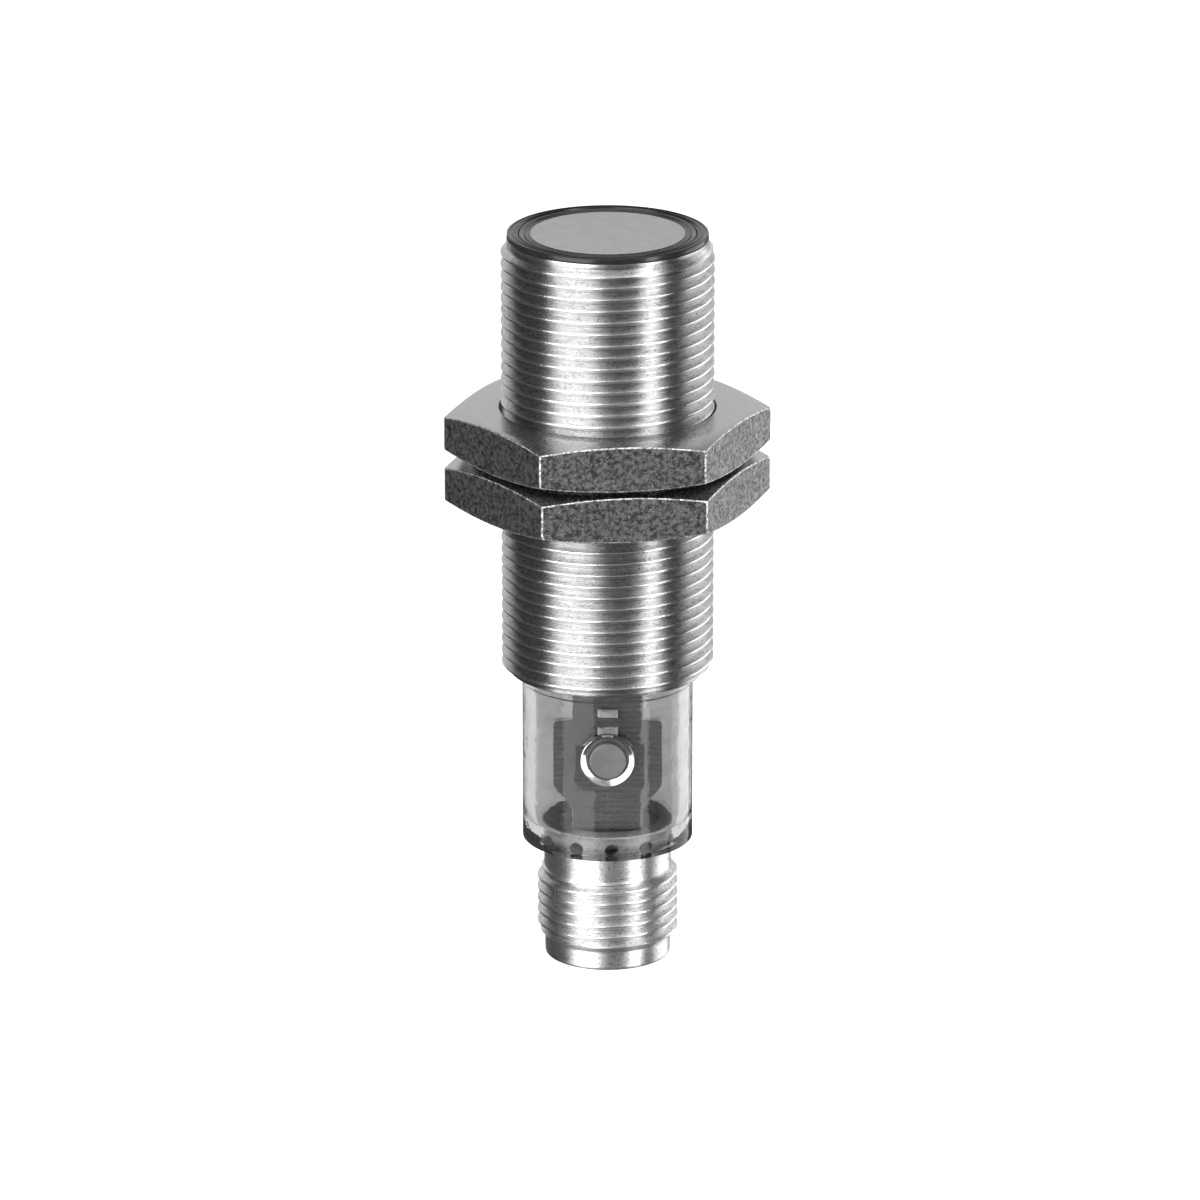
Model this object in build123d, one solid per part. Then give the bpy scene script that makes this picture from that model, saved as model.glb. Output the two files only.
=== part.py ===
from build123d import *
import os
from math import cos, radians, sin, tan

# Ultrasonic proximity sensor in a threaded M18 barrel, millimetres.
# Origin: centre of the connector's rim. +Z runs along the barrel to the sensing face.
# The teach button is on the -Y side.

# ---------------------------------------------------------------- driving dimensions
OVERALL_HEIGHT = 64.0
FIT_GAP = 0.05          # radial gap between round pieces that are bonded or moulded in place
RUNNING_GAP = 0.02      # radial gap of the two nut bearings
CLOSE_GAP = 0.02        # gap between inner pieces that all but touch

# threads: annular ridges of the ISO metric profile
PITCH = 1.0
THREAD_DEPTH = 0.613 * PITCH
CREST_WIDTH = PITCH / 8
ROOT_WIDTH = PITCH / 4
CREST_ROUNDING = 0.012  # rise of a rolled crest over its own edges

# barrel
BARREL_R = 9.0
BARREL_BORE_R = 7.5
BARREL_BOTTOM_Z = 25.7
BARREL_TOP_Z = 63.5
BARREL_END_R = 8.5
BARREL_FIRST_CREST_Z = 26.6
BARREL_CRESTS = 37

# nuts
NUT_ACROSS_FLATS = 24.0
NUT_HEIGHT = 4.0
NUT_CHAMFER_R = 11.75   # where the end chamfer meets the end face
NUT_CHAMFER_ANGLE = 15.4
NUT_BORE_R = BARREL_R + FIT_GAP
NUT_CORE_R = 9.5        # outside of the threaded core, at the edge of the countersink
UPPER_NUT_Z = 44.8
LOWER_NUT_Z = 40.4
UPPER_NUT_TURN = 6.0    # degrees, turn of the hexagon about +Z
LOWER_NUT_TURN = 6.75

# connector, M12 male
CONNECTOR_R = 6.0
SHELL_BORE_R = 4.4
RIM_R = 5.35
RELIEF_R = 5.42
COLLAR_R = 5.6
COLLAR_BOTTOM_Z = 10.6
COLLAR_TOP_Z = 12.3
COLLAR_HOLE_R = 0.58
COLLAR_HOLE_Z = 11.04
COLLAR_HOLES = 12
COLLAR_HOLE_TURN = 3.4  # degrees from -Y towards +X
CONNECTOR_FIRST_CREST_Z = 2.2
CONNECTOR_CRESTS = 6
EDGE_BREAK = 0.25

# contact carrier and pins
CARRIER_BOTTOM_Z = 8.8
CARRIER_TOP_Z = 12.0
PIN_CIRCLE_R = 2.75
PIN_R = 0.5
PIN_TAIL_R = 0.3
PIN_TIP_Z = 1.0
PIN_TAIL_TOP_Z = 12.7
PIN_TIP_CHAMFER = 0.3
CARRIER_SEAL_R = 0.4    # section radius of the carrier seal
KEY_TURN = 45           # degrees
KEY_WIDTH = 1.4
KEY_INNER_R = 3.7
KEY_OUTER_R = 4.22
KEY_BOTTOM_Z = 1.6
KEY_OVERLAP = 0.5       # how far the key reaches into the carrier
PIN_SHOULDER = 0.1

# translucent end housing
HOUSING_R = 7.25
HOUSING_BOTTOM_Z = COLLAR_BOTTOM_Z
HOUSING_LIP_R = BARREL_BORE_R - FIT_GAP
HOUSING_LIP_Z = 24.7
HOUSING_TOP_Z = 31.5
HOUSING_CAVITY_R = 6.1
SEAL_Z = 28.6
SEAL_R = 0.38           # section radius of the housing seal

# teach button and switch
BUTTON_Z = 19.47
BUTTON_R = 1.55
BUTTON_FACE_Y = -6.95
BUTTON_FLANGE_R = 2.05
BUTTON_FLANGE_Y = -5.7
BUTTON_BACK_Y = -5.3
BUTTON_TRAVEL = 0.25
BUTTON_FLAT_Y = -6.62   # flat milled in the housing wall round the button
BUTTON_FLAT_LOW_Z = 16.9
BUTTON_FLAT_HIGH_Z = 20.85
SWITCH_WIDTH = 4.2
SWITCH_HEIGHT = 2.8
SWITCH_DEPTH = 0.9
SWITCH_FLOOR = 0.2
SWITCH_CORNER = 0.6
PLUNGER_R = 0.9

# circuit board, in the XZ plane
BOARD_FRONT_Y = -3.8
BOARD_THICKNESS = 0.7
BOARD_BOTTOM_Z = 12.35
BOARD_TOP_Z = 50.5
BOARD_NECK_WIDTH = 5.8
BOARD_SWITCH_WIDTH = 8.85
BOARD_WIDE_WIDTH = 11.4
BOARD_SHOULDER_Z = 14.3
BOARD_SHOULDER_RISE = 2.0
BOARD_NECK_Z = 22.2
BOARD_WIDE_Z = 32.2
LED_YELLOW_Z = 21.25
LED_GREEN_Z = 22.9
LED_SIZE = (1.7, 0.7, 0.6)

# chips: height of the centre, then width, height and depth
MICROCONTROLLER_Z = 36.6
MICROCONTROLLER_SIZE = (5.0, 5.0, 0.9)
AMPLIFIER_Z = 44.5
AMPLIFIER_SIZE = (5.0, 4.0, 1.5)
REGULATOR_Z = 37.6
REGULATOR_SIZE = (6.5, 3.6, 1.7)
STORAGE_Z = 28.6
STORAGE_SIZE = (4.3, 6.0, 2.9)
PASSIVE_SIZE = (0.9, 1.6, 0.5)
PASSIVE_X = 4.4
PASSIVE_ROWS = (34.0, 36.0, 38.0, 46.5, 48.5)
NECK_PASSIVE_X = 1.7
NECK_PASSIVE_ROWS = (25.6, 29.0)

# transmitter transformer, on the back of the board
TRANSFORMER_Z = 45.0
CORE_SIZE = 7.6
CORE_DEPTH = 5.0
CORE_WALL = 1.0
CORE_POST_R = 1.3
COIL_WINDOW = 4.6
COIL_R = 2.1
COIL_LENGTH = 2.7

# transducer stack
CUP_R = BARREL_BORE_R - FIT_GAP
CUP_BORE_R = 7.0
CUP_BOTTOM_Z = 52.0
CUP_FLOOR = 1.0
FACE_R = 6.5
FACE_THICKNESS = 1.6
FACE_TOP_Z = OVERALL_HEIGHT - 0.08
PIEZO_R = 5.5
PIEZO_THICKNESS = 1.7
RING_TOP_Z = FACE_TOP_Z - 0.02
CUP_TOP_Z = OVERALL_HEIGHT - 0.04
BEZEL_R = BARREL_END_R - 0.04
BEZEL_TOP_Z = OVERALL_HEIGHT - 0.06
BEZEL_RIDGE_R = 7.85
LEAD_X = 3.0
LEAD_R = 0.3
LEAD_BEND_R = 0.8
LEAD_PAD_DROP = 1.0     # below the top of the board

# wires from the pins to the board
WIRE_R = 0.3
WIRE_BEND_R = 0.4
WIRE_PAD_Z = 17.0
WIRE_PAD_SPACING = 1.3
WIRE_PAD_LENGTH = 0.8   # straight run of a wire on its pad
WIRE_STUB = 0.6         # straight run above a pin's tail

BOARD_BACK_Y = BOARD_FRONT_Y + BOARD_THICKNESS
FACE_BOTTOM_Z = FACE_TOP_Z - FACE_THICKNESS
PIEZO_BOTTOM_Z = FACE_BOTTOM_Z - PIEZO_THICKNESS
WIRE_COLOURS = ("brown", "white", "black", "blue")


# ---------------------------------------------------------------- helpers
def revolved(points):
    """Solid of revolution about Z from a closed outline of (radius, height) points."""
    outline = Polyline(*[(r, 0, z) for r, z in points], close=True)
    return revolve(make_face(outline), Axis.Z)


def rod(radius, start_z, end_z, x=0, y=0):
    return Pos(x, y, start_z) * extrude(Circle(radius), end_z - start_z)


def ring(outer_r, inner_r, start_z, end_z):
    return rod(outer_r, start_z, end_z) - rod(inner_r, start_z - 1, end_z + 1)


def block(low, high):
    """Box between two opposite corners."""
    size = [b - a for a, b in zip(low, high)]
    centre = [(a + b) / 2 for a, b in zip(low, high)]
    return Pos(*centre) * Box(*size)


def rod_along_y(radius, start_y, end_y, x, z):
    plane = Plane(origin=(x, start_y, z), x_dir=(1, 0, 0), z_dir=(0, 1, 0))
    return extrude(plane * Circle(radius), end_y - start_y)


def o_ring(ring_r, section_r, z):
    return revolve(Plane.XZ * Pos(ring_r, z) * Circle(section_r), Axis.Z)


def wire(points, radius, bend_r):
    """Round wire along straight runs joined by tangent arcs."""
    path = FilletPolyline(*points, radius=bend_r)
    section = Plane(origin=path @ 0, z_dir=path % 0) * Circle(radius)
    return sweep(section, path)


def thread_edges(crest_r, crest_heights, start_r, end_r, rounded_below_z=0):
    """Outline edges of an annular thread, from start_r on its first flank to end_r on its last one.

    Crests under rounded_below_z have the slight crown of a rolled thread and the others are flat.
    """
    root_r = crest_r - THREAD_DEPTH
    slope = (PITCH - CREST_WIDTH - ROOT_WIDTH) / 2 / THREAD_DEPTH
    half_crest = CREST_WIDTH / 2
    half_gap = (PITCH - ROOT_WIDTH) / 2
    edges = []
    here = Vector(start_r, 0, crest_heights[0] - half_crest - (crest_r - start_r) * slope)
    for crest_z in crest_heights:
        rounded = crest_z < rounded_below_z
        edge_r = crest_r - CREST_ROUNDING if rounded else crest_r
        low = Vector(edge_r, 0, crest_z - half_crest)
        high = Vector(edge_r, 0, crest_z + half_crest)
        edges.append(Line(here, low))
        crown = Vector(crest_r, 0, crest_z)
        edges.append(ThreePointArc(low, crown, high) if rounded else Line(low, high))
        if crest_z == crest_heights[-1]:
            edges.append(Line(high, (end_r, 0, crest_z + half_crest + (crest_r - end_r) * slope)))
        else:
            root = Vector(root_r, 0, crest_z + half_gap)
            here = root + Vector(0, 0, ROOT_WIDTH)
            edges.append(Line(high, root))
            edges.append(Line(root, here))
    return edges


def threaded_solid(edges, rest):
    """Solid of revolution of the thread's edges and a run of (radius, height) points back to their start."""
    points = [edges[-1] @ 1] + [Vector(r, 0, z) for r, z in rest] + [edges[0] @ 0]
    outline = edges + [Line(a, b) for a, b in zip(points, points[1:])]
    return revolve(make_face(outline), Axis.Z)


# ---------------------------------------------------------------- barrel
def make_barrel():
    crests = [BARREL_FIRST_CREST_Z + number * PITCH for number in range(BARREL_CRESTS)]
    root_r = BARREL_R - THREAD_DEPTH
    edges = thread_edges(BARREL_R, crests, root_r, BARREL_END_R, UPPER_NUT_Z + NUT_HEIGHT)
    return threaded_solid(edges, [
        (BARREL_END_R, BARREL_TOP_Z),
        (BARREL_BORE_R, BARREL_TOP_Z),
        (BARREL_BORE_R, BARREL_BOTTOM_Z),
        (root_r, BARREL_BOTTOM_Z),
    ])


# ---------------------------------------------------------------- nuts
def make_nut_hex(bottom_z, turn):
    """Hexagon of a nut, bored out to carry its threaded core."""
    flat_r = NUT_ACROSS_FLATS / 2
    corner_r = flat_r / cos(radians(30))
    hexagon = Rot(0, 0, turn) * RegularPolygon(flat_r, 6, major_radius=False)
    body = Pos(0, 0, bottom_z) * extrude(hexagon, NUT_HEIGHT)
    drop = (corner_r + 1 - NUT_CHAMFER_R) * tan(radians(NUT_CHAMFER_ANGLE))
    top_z = bottom_z + NUT_HEIGHT
    envelope = revolved([
        (NUT_CORE_R + RUNNING_GAP, bottom_z),
        (NUT_CHAMFER_R, bottom_z),
        (corner_r + 1, bottom_z + drop),
        (corner_r + 1, top_z - drop),
        (NUT_CHAMFER_R, top_z),
        (NUT_CORE_R + RUNNING_GAP, top_z),
    ])
    return body & envelope


def make_nut_core(bottom_z):
    """Threaded core of a nut with its two countersinks."""
    sink = NUT_CORE_R - NUT_BORE_R
    top_z = bottom_z + NUT_HEIGHT
    return revolved([
        (NUT_CORE_R, bottom_z),
        (NUT_CORE_R, top_z),
        (NUT_BORE_R, top_z - sink),
        (NUT_BORE_R, bottom_z + sink),
    ])


# ---------------------------------------------------------------- connector
def make_connector_shell():
    crests = [CONNECTOR_FIRST_CREST_Z + number * PITCH for number in range(CONNECTOR_CRESTS)]
    edges = thread_edges(CONNECTOR_R, crests, RIM_R, RELIEF_R)
    shell = threaded_solid(edges, [
        (RELIEF_R, COLLAR_BOTTOM_Z),
        (COLLAR_R, COLLAR_BOTTOM_Z),
        (COLLAR_R, COLLAR_TOP_Z),
        (SHELL_BORE_R, COLLAR_TOP_Z),
        (SHELL_BORE_R, EDGE_BREAK),
        (SHELL_BORE_R + EDGE_BREAK, 0),
        (RIM_R - EDGE_BREAK, 0),
        (RIM_R, EDGE_BREAK),
    ])
    for number in range(COLLAR_HOLES):
        hole = rod_along_y(COLLAR_HOLE_R, -COLLAR_R - 1, -SHELL_BORE_R + 1, 0, COLLAR_HOLE_Z)
        shell -= Rot(0, 0, COLLAR_HOLE_TURN + number * 360 / COLLAR_HOLES) * hole
    return shell


def pin_places():
    """Pins on the X and Y axes, in the order of WIRE_COLOURS."""
    return [(PIN_CIRCLE_R * cos(radians(a)), PIN_CIRCLE_R * sin(radians(a))) for a in (180, 270, 90, 0)]


def make_contact_carrier():
    outer_r = SHELL_BORE_R - FIT_GAP
    groove_z = (CARRIER_BOTTOM_Z + CARRIER_TOP_Z) / 2
    carrier = rod(outer_r, CARRIER_BOTTOM_Z, CARRIER_TOP_Z)
    half_groove = CARRIER_SEAL_R + FIT_GAP
    groove_r = outer_r - 2 * CARRIER_SEAL_R
    carrier -= ring(outer_r + 1, groove_r, groove_z - half_groove, groove_z + half_groove)
    half_key = KEY_WIDTH / 2
    key_top_z = CARRIER_BOTTOM_Z + KEY_OVERLAP
    key = block((KEY_INNER_R, -half_key, KEY_BOTTOM_Z), (KEY_OUTER_R, half_key, key_top_z))
    carrier += Rot(0, 0, KEY_TURN) * key
    for x, y in pin_places():
        carrier -= rod(PIN_R + CLOSE_GAP, CARRIER_BOTTOM_Z - 1, CARRIER_TOP_Z + 1, x, y)
    return carrier


def make_carrier_seal():
    ring_r = SHELL_BORE_R - CARRIER_SEAL_R - 0.01
    return o_ring(ring_r, CARRIER_SEAL_R, (CARRIER_BOTTOM_Z + CARRIER_TOP_Z) / 2)


def make_pin(x, y):
    profile = revolved([
        (0, PIN_TIP_Z),
        (PIN_R - PIN_TIP_CHAMFER, PIN_TIP_Z),
        (PIN_R, PIN_TIP_Z + PIN_TIP_CHAMFER),
        (PIN_R, CARRIER_TOP_Z),
        (PIN_TAIL_R, CARRIER_TOP_Z + PIN_SHOULDER),
        (PIN_TAIL_R, PIN_TAIL_TOP_Z),
        (0, PIN_TAIL_TOP_Z),
    ])
    return Pos(x, y, 0) * profile


def make_pin_wire(x, y, number):
    """Wire from a pin's tail to a pad on the back of the board."""
    pad_x = (number - (len(WIRE_COLOURS) - 1) / 2) * WIRE_PAD_SPACING
    pad_y = BOARD_BACK_Y + WIRE_R + CLOSE_GAP
    route = [
        (x, y, PIN_TAIL_TOP_Z),
        (x, y, PIN_TAIL_TOP_Z + WIRE_STUB),
        (pad_x, pad_y, WIRE_PAD_Z - WIRE_PAD_LENGTH),
        (pad_x, pad_y, WIRE_PAD_Z),
    ]
    return wire(route, WIRE_R, WIRE_BEND_R)


# ---------------------------------------------------------------- end housing and button
def make_end_housing():
    housing = revolved([
        (COLLAR_R + FIT_GAP, HOUSING_BOTTOM_Z),
        (HOUSING_R, HOUSING_BOTTOM_Z),
        (HOUSING_R, HOUSING_LIP_Z),
        (HOUSING_LIP_R, HOUSING_LIP_Z + 0.2),
        (HOUSING_LIP_R, HOUSING_TOP_Z),
        (HOUSING_CAVITY_R, HOUSING_TOP_Z),
        (HOUSING_CAVITY_R, COLLAR_TOP_Z),
        (COLLAR_R + FIT_GAP, COLLAR_TOP_Z),
    ])
    groove_floor_r = BARREL_BORE_R - 2 * SEAL_R - CLOSE_GAP
    housing -= ring(HOUSING_LIP_R + 1, groove_floor_r, SEAL_Z - SEAL_R - FIT_GAP, SEAL_Z + SEAL_R + FIT_GAP)
    housing -= rod_along_y(BUTTON_R + FIT_GAP, -HOUSING_R - 1, -HOUSING_CAVITY_R + 1, 0, BUTTON_Z)
    low = (-HOUSING_R, -HOUSING_R - 1, BUTTON_FLAT_LOW_Z)
    return housing - block(low, (HOUSING_R, BUTTON_FLAT_Y, BUTTON_FLAT_HIGH_Z))


def make_teach_button():
    stem = rod_along_y(BUTTON_R, BUTTON_FACE_Y, BUTTON_FLANGE_Y, 0, BUTTON_Z)
    flange = rod_along_y(BUTTON_FLANGE_R, BUTTON_FLANGE_Y, BUTTON_BACK_Y, 0, BUTTON_Z)
    return stem + flange


def make_switch():
    body = chip(0, BUTTON_Z, SWITCH_WIDTH, SWITCH_HEIGHT, SWITCH_DEPTH)
    body = chamfer(body.edges().filter_by(Axis.Y), SWITCH_CORNER)
    front_y = BOARD_FRONT_Y - SWITCH_DEPTH
    return body - rod_along_y(PLUNGER_R + FIT_GAP, front_y - 1, BOARD_FRONT_Y - SWITCH_FLOOR, 0, BUTTON_Z)


def make_plunger():
    end_y = BOARD_FRONT_Y - SWITCH_FLOOR - BUTTON_TRAVEL - FIT_GAP
    return rod_along_y(PLUNGER_R, BUTTON_BACK_Y, end_y, 0, BUTTON_Z)


# ---------------------------------------------------------------- electronics
def make_main_board():
    half_neck = BOARD_NECK_WIDTH / 2
    half_switch = BOARD_SWITCH_WIDTH / 2
    half_wide = BOARD_WIDE_WIDTH / 2
    side = [
        (half_neck, BOARD_BOTTOM_Z),
        (half_neck, BOARD_SHOULDER_Z),
        (half_switch, BOARD_SHOULDER_Z + BOARD_SHOULDER_RISE),
        (half_switch, BOARD_NECK_Z),
        (half_neck, BOARD_NECK_Z),
        (half_neck, BOARD_WIDE_Z),
        (half_wide, BOARD_WIDE_Z),
        (half_wide, BOARD_TOP_Z),
    ]
    outline = side + [(-x, z) for x, z in reversed(side)]
    plane = Plane(origin=(0, BOARD_FRONT_Y, 0), x_dir=(1, 0, 0), z_dir=(0, -1, 0))
    return extrude(plane * make_face(Polyline(*outline, close=True)), -BOARD_THICKNESS)


def chip(x, z, width, height, depth, on_back=False):
    """Rectangular component on one face of the board, centred on (x, z)."""
    near_y = BOARD_BACK_Y if on_back else BOARD_FRONT_Y - depth
    return block((x - width / 2, near_y, z - height / 2), (x + width / 2, near_y + depth, z + height / 2))


def make_transformer_core():
    core = chip(0, TRANSFORMER_Z, CORE_SIZE, CORE_SIZE, CORE_DEPTH, on_back=True)
    window = chip(0, TRANSFORMER_Z, CORE_SIZE + 1, COIL_WINDOW, CORE_DEPTH - 2 * CORE_WALL, on_back=True)
    post = rod_along_y(CORE_POST_R, BOARD_BACK_Y, BOARD_BACK_Y + CORE_DEPTH, 0, TRANSFORMER_Z)
    return core - Pos(0, CORE_WALL, 0) * window + post


def make_transformer_coil():
    start_y = BOARD_BACK_Y + (CORE_DEPTH - COIL_LENGTH) / 2
    coil = rod_along_y(COIL_R, start_y, start_y + COIL_LENGTH, 0, TRANSFORMER_Z)
    bore_r = CORE_POST_R + FIT_GAP
    return coil - rod_along_y(bore_r, start_y - 1, start_y + COIL_LENGTH + 1, 0, TRANSFORMER_Z)


def make_passives():
    """Small chip capacitors and resistors on the board's front."""
    places = [(x, z) for x in (-PASSIVE_X, PASSIVE_X) for z in PASSIVE_ROWS]
    places += [(x, z) for x in (-NECK_PASSIVE_X, NECK_PASSIVE_X) for z in NECK_PASSIVE_ROWS]
    return Compound(children=[chip(x, z, *PASSIVE_SIZE) for x, z in places])


def make_led(z):
    return chip(0, z, *LED_SIZE)


# ---------------------------------------------------------------- transducer
def make_front_bezel():
    inner_r = BARREL_BORE_R + CLOSE_GAP
    floor_z = BEZEL_TOP_Z - 0.06
    return revolved([
        (inner_r, BARREL_TOP_Z),
        (BEZEL_R - 0.08, BARREL_TOP_Z),
        (BEZEL_R, BARREL_TOP_Z + 0.08),
        (BEZEL_R, BEZEL_TOP_Z - 0.05),
        (BEZEL_R - 0.12, BEZEL_TOP_Z + 0.04),
        (BEZEL_RIDGE_R + 0.2, floor_z),
        (BEZEL_RIDGE_R, OVERALL_HEIGHT),
        (BEZEL_RIDGE_R - 0.14, floor_z),
        (inner_r, floor_z),
    ])


def make_transducer_cup():
    cup = revolved([
        (0, CUP_BOTTOM_Z),
        (CUP_R, CUP_BOTTOM_Z),
        (CUP_R, CUP_TOP_Z - 0.1),
        (CUP_R - 0.1, CUP_TOP_Z),
        (CUP_R - 0.22, CUP_TOP_Z),
        (CUP_BORE_R, CUP_TOP_Z - 0.14),
        (CUP_BORE_R, CUP_BOTTOM_Z + CUP_FLOOR),
        (0, CUP_BOTTOM_Z + CUP_FLOOR),
    ])
    for x in (-LEAD_X, LEAD_X):
        cup -= rod(LEAD_R + FIT_GAP, CUP_BOTTOM_Z - 1, CUP_BOTTOM_Z + CUP_FLOOR + 1, x)
    return cup


def make_decoupling_ring():
    outer_r = CUP_BORE_R - CLOSE_GAP
    return revolved([
        (PIEZO_R + CLOSE_GAP, PIEZO_BOTTOM_Z),
        (outer_r, PIEZO_BOTTOM_Z),
        (outer_r, RING_TOP_Z - 0.06),
        (FACE_R + 0.25, RING_TOP_Z + 0.02),
        (FACE_R + CLOSE_GAP, RING_TOP_Z - 0.04),
        (FACE_R + CLOSE_GAP, FACE_BOTTOM_Z),
        (PIEZO_R + CLOSE_GAP, FACE_BOTTOM_Z),
    ])


def make_damping_block():
    backing = rod(CUP_BORE_R - FIT_GAP, CUP_BOTTOM_Z + CUP_FLOOR, PIEZO_BOTTOM_Z)
    for x in (-LEAD_X, LEAD_X):
        backing -= rod(LEAD_R + FIT_GAP, CUP_BOTTOM_Z, PIEZO_BOTTOM_Z + 1, x)
    return backing


def make_piezo_lead(x):
    """Lead from the piezo disc down through the backing to the top of the board."""
    pad_z = BOARD_TOP_Z - LEAD_PAD_DROP
    return wire(
        [
            (x, 0, PIEZO_BOTTOM_Z),
            (x, 0, pad_z),
            (x, BOARD_BACK_Y, pad_z),
        ],
        LEAD_R,
        LEAD_BEND_R,
    )


# ---------------------------------------------------------------- the whole sensor
def make_nodes():
    nodes = {
        "barrel": make_barrel(),
        "front_bezel": make_front_bezel(),
        "transducer_cup": make_transducer_cup(),
        "decoupling_ring": make_decoupling_ring(),
        "matching_layer": rod(FACE_R, FACE_BOTTOM_Z, FACE_TOP_Z),
        "piezo_disc": rod(PIEZO_R, PIEZO_BOTTOM_Z, FACE_BOTTOM_Z),
        "damping_block": make_damping_block(),
        "piezo_lead_live": make_piezo_lead(LEAD_X),
        "piezo_lead_ground": make_piezo_lead(-LEAD_X),
        "main_board": make_main_board(),
        "microcontroller": chip(0, MICROCONTROLLER_Z, *MICROCONTROLLER_SIZE),
        "amplifier_chip": chip(0, AMPLIFIER_Z, *AMPLIFIER_SIZE),
        "voltage_regulator": chip(0, REGULATOR_Z, *REGULATOR_SIZE, on_back=True),
        "storage_capacitor": chip(0, STORAGE_Z, *STORAGE_SIZE, on_back=True),
        "transformer_core": make_transformer_core(),
        "transformer_coil": make_transformer_coil(),
        "board_passives": make_passives(),
        "led_green": make_led(LED_GREEN_Z),
        "led_yellow": make_led(LED_YELLOW_Z),
        "tactile_switch": make_switch(),
        "switch_plunger": make_plunger(),
        "teach_button": make_teach_button(),
        "end_housing": make_end_housing(),
        "housing_seal": o_ring(BARREL_BORE_R - SEAL_R - 0.01, SEAL_R, SEAL_Z),
        "connector_shell": make_connector_shell(),
        "contact_carrier": make_contact_carrier(),
        "carrier_seal": make_carrier_seal(),
        "upper_nut": make_nut_hex(UPPER_NUT_Z, UPPER_NUT_TURN),
        "upper_nut_thread": make_nut_core(UPPER_NUT_Z),
        "lower_nut": make_nut_hex(LOWER_NUT_Z, LOWER_NUT_TURN),
        "lower_nut_thread": make_nut_core(LOWER_NUT_Z),
    }
    for number, (x, y) in enumerate(pin_places()):
        nodes[f"contact_pin_{number + 1}"] = make_pin(x, y)
        nodes[f"wire_{WIRE_COLOURS[number]}"] = make_pin_wire(x, y, number)
    return nodes


os.makedirs("parts", exist_ok=True)
for name, shape in make_nodes().items():
    export_step(shape, f"parts/{name}.step")
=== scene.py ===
from math import atan2, cos, pi, radians, sin, sqrt, tan

import bmesh
import bpy
import numpy as np
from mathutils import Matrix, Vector


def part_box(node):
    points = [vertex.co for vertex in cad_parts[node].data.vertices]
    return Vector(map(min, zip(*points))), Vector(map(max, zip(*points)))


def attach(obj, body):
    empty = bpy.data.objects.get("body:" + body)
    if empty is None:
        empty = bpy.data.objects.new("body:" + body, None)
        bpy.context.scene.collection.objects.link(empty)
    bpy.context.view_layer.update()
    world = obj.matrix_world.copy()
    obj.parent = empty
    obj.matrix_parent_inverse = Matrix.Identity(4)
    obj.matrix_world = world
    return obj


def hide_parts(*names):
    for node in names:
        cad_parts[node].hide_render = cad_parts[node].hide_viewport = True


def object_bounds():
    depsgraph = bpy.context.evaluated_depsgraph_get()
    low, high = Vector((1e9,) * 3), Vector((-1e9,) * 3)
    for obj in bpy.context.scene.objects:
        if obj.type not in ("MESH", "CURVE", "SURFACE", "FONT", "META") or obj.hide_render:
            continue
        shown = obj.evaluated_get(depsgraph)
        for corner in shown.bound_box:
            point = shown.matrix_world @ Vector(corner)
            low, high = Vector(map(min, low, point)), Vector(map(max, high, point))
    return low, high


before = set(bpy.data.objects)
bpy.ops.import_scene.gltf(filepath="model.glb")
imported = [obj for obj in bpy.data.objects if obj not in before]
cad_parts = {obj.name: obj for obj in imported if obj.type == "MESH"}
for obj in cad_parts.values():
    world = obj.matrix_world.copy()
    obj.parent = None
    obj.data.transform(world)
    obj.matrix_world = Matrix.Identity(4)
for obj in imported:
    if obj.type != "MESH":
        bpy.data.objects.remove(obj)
CAD_LOW, CAD_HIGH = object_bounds()
MM = 0.001

# ------------------------------------------------------------------ dimensions that the boxes don't give, mm
PITCH = 1.0
BARREL_BORE = 7.5
BARREL_THREAD_START = 26.80     # height of a barrel crest at angle 0, on the +X side
PLUG_THREAD_START = 2.42
NUT_BORE_GAP = 0.05
NUT_FLAT_R = 12.0
NUT_SINK_FLOOR_R = 9.2          # edge of the countersink in the bore
UPPER_NUT_TURN = radians(6.0 + 30)
LOWER_NUT_TURN = radians(6.75 + 30)
NUT_CHAMFER_R = 11.75
NUT_CHAMFER_SLOPE = tan(radians(15.4))
NUT_SINK_R = 9.5
SHELL_BORE = 4.4
RIM_R = 5.35
RELIEF_R = 5.42
PLUG_R = 6.0
THREAD_LOW_Z = 0.25
PLUG_LEAD_IN_Z = 1.7
PLUG_RUN_OUT_Z = 8.0
COLLAR_R = 5.6
COLLAR_HOLE_R = 0.58
COLLAR_HOLE_Z = 11.04
COLLAR_HOLES = 12
COLLAR_HOLE_TURN = radians(3.4)
HOUSING_R = 7.25
HOUSING_LIP_R = 7.45
HOUSING_LIP_Z = 24.7
HOUSING_CAVITY_R = 6.1
HOUSING_FLOOR_Z = 12.3
HOUSING_NECK_R = 5.65
HOUSING_RING_STEP = 0.55        # spacing of the rings of vertices along the wall
SWITCH_CORNER = 0.6
BUTTON_R = 1.55
BUTTON_BORE_R = 1.6
BUTTON_FLAT_Y = -6.62
BUTTON_FLAT_LOW_Z = 16.9
BUTTON_FLAT_HIGH_Z = 20.85
BEZEL_RIDGE_R = 7.85

# the polished ring round the button: a shallow funnel let into the flat
FUNNEL_OUT_R = 2.28
FUNNEL_IN_R = 1.62
FUNNEL_RIM_Y = -6.88
FUNNEL_THROAT_Y = -6.56
FUNNEL_BACK_Y = -6.48

# half of the board's outline from the bottom up: (x, z, corner radius)
BOARD_SIDE = [(2.9, None, 0.1), (2.9, 14.3, 0.15), (4.425, 16.3, 1.0), (4.425, 22.2, 0.5), (2.9, 22.2, 0.15)]
BOARD_SIDE += [(2.9, 32.2, 0.15), (5.7, 32.2, 0.2), (5.7, None, 0.3)]

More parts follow.
